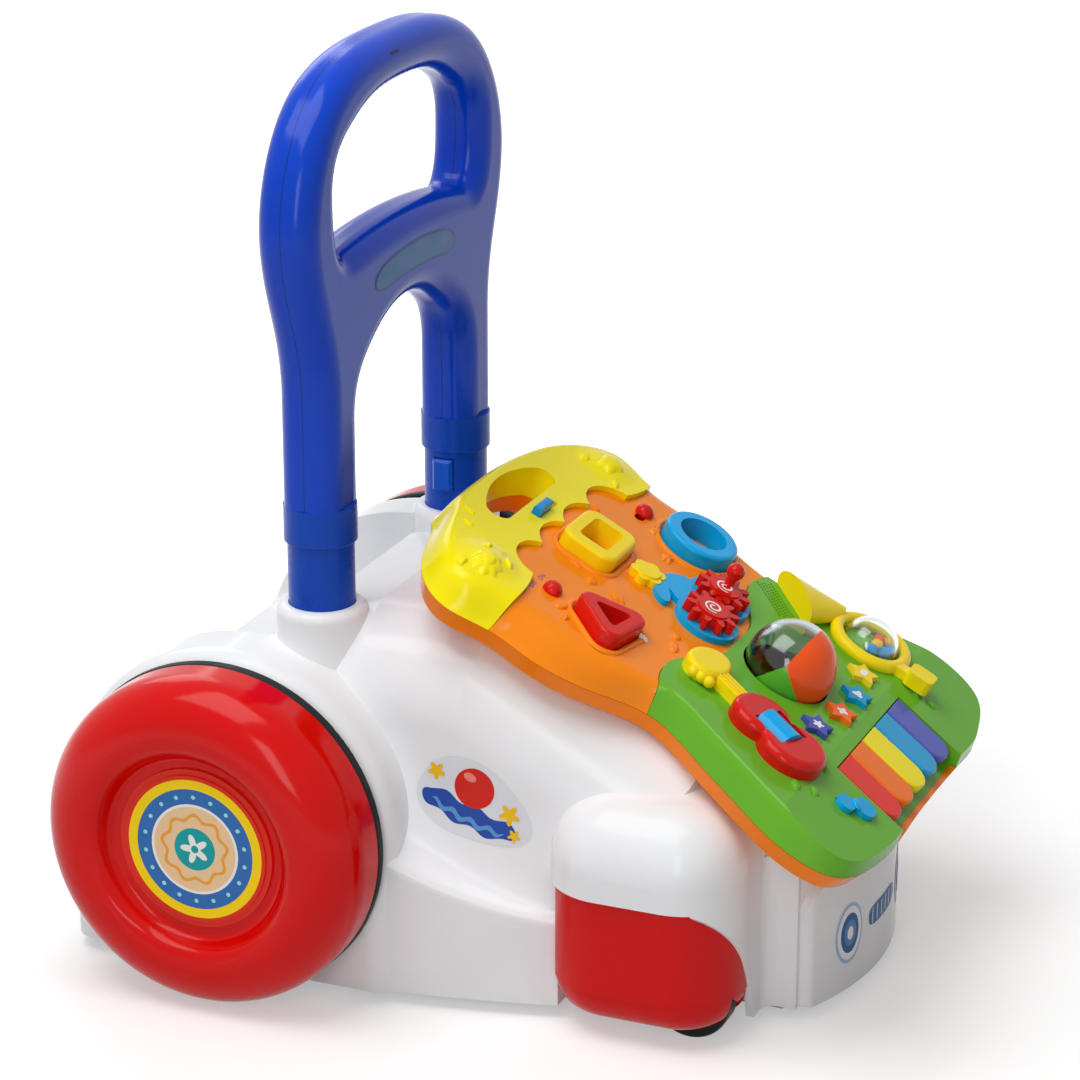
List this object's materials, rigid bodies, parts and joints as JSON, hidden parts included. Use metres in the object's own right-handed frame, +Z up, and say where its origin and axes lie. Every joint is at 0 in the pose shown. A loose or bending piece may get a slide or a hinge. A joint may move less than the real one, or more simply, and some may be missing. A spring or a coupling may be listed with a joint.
{
  "type": "baby walker",
  "caption": "Push-along baby walker: moulded car body on wheels, a push handle in two sockets and a sloping activity board with blocks, gears, a ball, keys and buttons.",
  "frame": {"origin": "on the floor below the middle of the walker's box", "axes": "+Z up, -Y towards the front (bumper), +X towards the child's left hand"},
  "size_m": [0.355, 0.4102, 0.457],
  "materials": {
    "white_shell": "gloss",
    "grey_base": "satin",
    "red_skirt": "gloss",
    "steel": "satin",
    "red_wheel": "gloss",
    "black_tyre": "matte",
    "wheel_print": "satin",
    "black_wheel": "matte",
    "blue_handle": "gloss",
    "blue_post": "gloss",
    "blue_button": "gloss",
    "orange_base": "gloss",
    "orange_face": "gloss",
    "yellow_grip": "gloss",
    "green_cover": "gloss",
    "cell_wrap": "gloss",
    "circuit": "satin",
    "speaker_black": "matte",
    "white_cord": "matte",
    "tab_blue": "gloss",
    "red_toy": "gloss",
    "blue_toy": "gloss",
    "yellow_toy": "gloss",
    "clear_dome": "gloss",
    "clear_ball": "gloss",
    "orange_ball": "gloss",
    "green_ball": "gloss",
    "star_yellow": "gloss",
    "star_blue": "gloss",
    "star_orange": "gloss",
    "star_purple": "gloss",
    "key_red": "gloss",
    "key_orange": "gloss",
    "key_yellow": "gloss",
    "key_blue": "gloss",
    "key_purple": "gloss"
  },
  "bodies": {
    "walker": {"body_shell": "white_shell", "base_plate": "grey_base", "wheel_skirt_right": "red_skirt", "wheel_skirt_left": "red_skirt", "rear_axle": "steel", "front_axles": "steel"},
    "rear_wheel_right": {"rear_wheel_right": "red_wheel", "rear_tyre_right": "black_tyre", "wheel_cap_right": "wheel_print"},
    "front_wheel_right": {"front_wheel_right": "black_wheel"},
    "rear_wheel_left": {"rear_wheel_left": "red_wheel", "rear_tyre_left": "black_tyre", "wheel_cap_left": "wheel_print"},
    "front_wheel_left": {"front_wheel_left": "black_wheel"},
    "handle": {"handle_front_shell": "blue_handle", "handle_rear_shell": "blue_handle", "handle_post_right": "blue_post", "handle_post_left": "blue_post", "handle_collar_right": "blue_post", "handle_collar_left": "blue_post"},
    "latch_right": {"latch_button_right": "blue_button"},
    "latch_left": {"latch_button_left": "blue_button"},
    "board": {"panel_base": "orange_base", "panel_middle": "orange_face", "panel_grip": "yellow_grip", "panel_front_cover": "green_cover", "battery_door": "orange_base", "batteries": "cell_wrap", "panel_screws": "steel", "circuit_board": "circuit", "speaker": "speaker_black", "block_tethers": "white_cord", "gear_plate": "blue_toy", "flower_head": "yellow_toy", "guitar_body": "red_toy", "guitar_neck": "yellow_toy", "trumpet": "yellow_toy", "trumpet_dome": "clear_dome"},
    "release_tab": {"release_tab": "tab_blue"},
    "power_slider": {"power_slider": "red_toy"},
    "volume_slider": {"volume_slider": "red_toy"},
    "square_block": {"square_block": "yellow_toy"},
    "triangle_block": {"triangle_block": "red_toy"},
    "round_block": {"round_block": "blue_toy"},
    "crank_gear": {"crank_gear": "red_toy"},
    "plain_gear": {"plain_gear": "red_toy"},
    "ball": {"ball_clear_part": "clear_ball", "ball_orange_part": "orange_ball", "ball_green_part": "green_ball"},
    "guitar_roller": {"guitar_roller": "blue_toy"},
    "star_button_1": {"star_button_1": "star_yellow"},
    "star_button_2": {"star_button_2": "star_blue"},
    "star_button_3": {"star_button_3": "star_orange"},
    "star_button_4": {"star_button_4": "star_purple"},
    "bow_button": {"bow_button": "blue_toy"},
    "piano_key_1": {"piano_key_1": "key_red"},
    "piano_key_2": {"piano_key_2": "key_orange"},
    "piano_key_3": {"piano_key_3": "key_yellow"},
    "piano_key_4": {"piano_key_4": "key_blue"},
    "piano_key_5": {"piano_key_5": "key_purple"}
  },
  "joints": [
    {"name": "rear_wheel_right_spin", "type": "hinge", "parent": "walker", "child": "rear_wheel_right", "pos_m": [-0.15, 0.11314, 0.085], "axis": [1, 0, 0], "continuous": true},
    {"name": "front_wheel_right_spin", "type": "hinge", "parent": "walker", "child": "front_wheel_right", "pos_m": [-0.098, -0.11855, 0.02], "axis": [1, 0, 0], "continuous": true},
    {"name": "rear_wheel_left_spin", "type": "hinge", "parent": "walker", "child": "rear_wheel_left", "pos_m": [0.15, 0.11314, 0.085], "axis": [1, 0, 0], "continuous": true},
    {"name": "front_wheel_left_spin", "type": "hinge", "parent": "walker", "child": "front_wheel_left", "pos_m": [0.098, -0.11855, 0.02], "axis": [1, 0, 0], "continuous": true},
    {"name": "handle_lift", "type": "slide", "parent": "walker", "child": "handle", "axis": [0, 0, 1], "range_m": [0, 0.115]},
    {"name": "latch_right_press", "type": "slide", "parent": "handle", "child": "latch_right", "axis": [-1, 0, 0], "range_m": [0, 0.0025], "stiffness_N_per_m": 800, "springref_m": -0.001},
    {"name": "latch_left_press", "type": "slide", "parent": "handle", "child": "latch_left", "axis": [1, 0, 0], "range_m": [0, 0.0025], "stiffness_N_per_m": 800, "springref_m": -0.001},
    {"name": "board_lift", "type": "slide", "parent": "walker", "child": "board", "axis": [0, -0.4617, 0.887], "range_m": [0, 0.06]},
    {"name": "release_tab_slide", "type": "slide", "parent": "board", "child": "release_tab", "axis": [1, 0, 0], "range_m": [0, 0.008], "stiffness_N_per_m": 120, "springref_m": -0.002},
    {"name": "power_slider_slide", "type": "slide", "parent": "board", "child": "power_slider", "axis": [1, 0, 0], "range_m": [0, 0.006]},
    {"name": "volume_slider_slide", "type": "slide", "parent": "board", "child": "volume_slider", "axis": [-1, 0, 0], "range_m": [0, 0.006]},
    {"name": "square_block_lift", "type": "slide", "parent": "board", "child": "square_block", "axis": [0, -0.4617, 0.887], "range_m": [0, 0.03]},
    {"name": "triangle_block_lift", "type": "slide", "parent": "board", "child": "triangle_block", "axis": [0, -0.4617, 0.887], "range_m": [0, 0.03]},
    {"name": "round_block_lift", "type": "slide", "parent": "board", "child": "round_block", "axis": [0, -0.4617, 0.887], "range_m": [0, 0.03]},
    {"name": "crank_gear_spin", "type": "hinge", "parent": "board", "child": "crank_gear", "pos_m": [0.02425, -0.08382, 0.17705], "axis": [0, -0.4617, 0.887], "continuous": true},
    {"name": "plain_gear_spin", "type": "hinge", "parent": "board", "child": "plain_gear", "pos_m": [-0.001, -0.08697, 0.17541], "axis": [0, -0.4617, 0.887], "continuous": true},
    {"name": "ball_spin", "type": "hinge", "parent": "board", "child": "ball", "pos_m": [0, -0.13018, 0.15663], "axis": [0, -0.4617, 0.887], "continuous": true},
    {"name": "guitar_roller_spin", "type": "hinge", "parent": "board", "child": "guitar_roller", "pos_m": [-0.0645, -0.14485, 0.14584], "axis": [0.3746, 0.8224, 0.4281], "continuous": true},
    {"name": "star_button_1_press", "type": "slide", "parent": "board", "child": "star_button_1", "axis": [0, 0.4617, -0.887], "range_m": [0, 0.0025], "stiffness_N_per_m": 300, "springref_m": -0.002},
    {"name": "star_button_2_press", "type": "slide", "parent": "board", "child": "star_button_2", "axis": [0, 0.4617, -0.887], "range_m": [0, 0.0025], "stiffness_N_per_m": 300, "springref_m": -0.002},
    {"name": "star_button_3_press", "type": "slide", "parent": "board", "child": "star_button_3", "axis": [0, 0.4617, -0.887], "range_m": [0, 0.0025], "stiffness_N_per_m": 300, "springref_m": -0.002},
    {"name": "star_button_4_press", "type": "slide", "parent": "board", "child": "star_button_4", "axis": [0, 0.4617, -0.887], "range_m": [0, 0.0025], "stiffness_N_per_m": 300, "springref_m": -0.002},
    {"name": "bow_button_press", "type": "slide", "parent": "board", "child": "bow_button", "axis": [0, 0.6157, -0.788], "range_m": [0, 0.0025], "stiffness_N_per_m": 300, "springref_m": -0.002},
    {"name": "piano_key_1_press", "type": "hinge", "parent": "board", "child": "piano_key_1", "pos_m": [-0.0388, -0.16977, 0.12567], "axis": [1, 0, 0], "range_deg": [0, 4], "stiffness_Nm_per_rad": 0.3, "springref_deg": -2.86},
    {"name": "piano_key_2_press", "type": "hinge", "parent": "board", "child": "piano_key_2", "pos_m": [-0.0194, -0.16977, 0.12567], "axis": [1, 0, 0], "range_deg": [0, 4], "stiffness_Nm_per_rad": 0.3, "springref_deg": -2.86},
    {"name": "piano_key_3_press", "type": "hinge", "parent": "board", "child": "piano_key_3", "pos_m": [0, -0.16977, 0.12567], "axis": [1, 0, 0], "range_deg": [0, 4], "stiffness_Nm_per_rad": 0.3, "springref_deg": -2.86},
    {"name": "piano_key_4_press", "type": "hinge", "parent": "board", "child": "piano_key_4", "pos_m": [0.0194, -0.16977, 0.12567], "axis": [1, 0, 0], "range_deg": [0, 4], "stiffness_Nm_per_rad": 0.3, "springref_deg": -2.86},
    {"name": "piano_key_5_press", "type": "hinge", "parent": "board", "child": "piano_key_5", "pos_m": [0.0388, -0.16977, 0.12567], "axis": [1, 0, 0], "range_deg": [0, 4], "stiffness_Nm_per_rad": 0.3, "springref_deg": -2.86}
  ],
  "couplings": [
    {"joint": "plain_gear_spin", "follows": "crank_gear_spin", "ratio": -1}
  ]
}
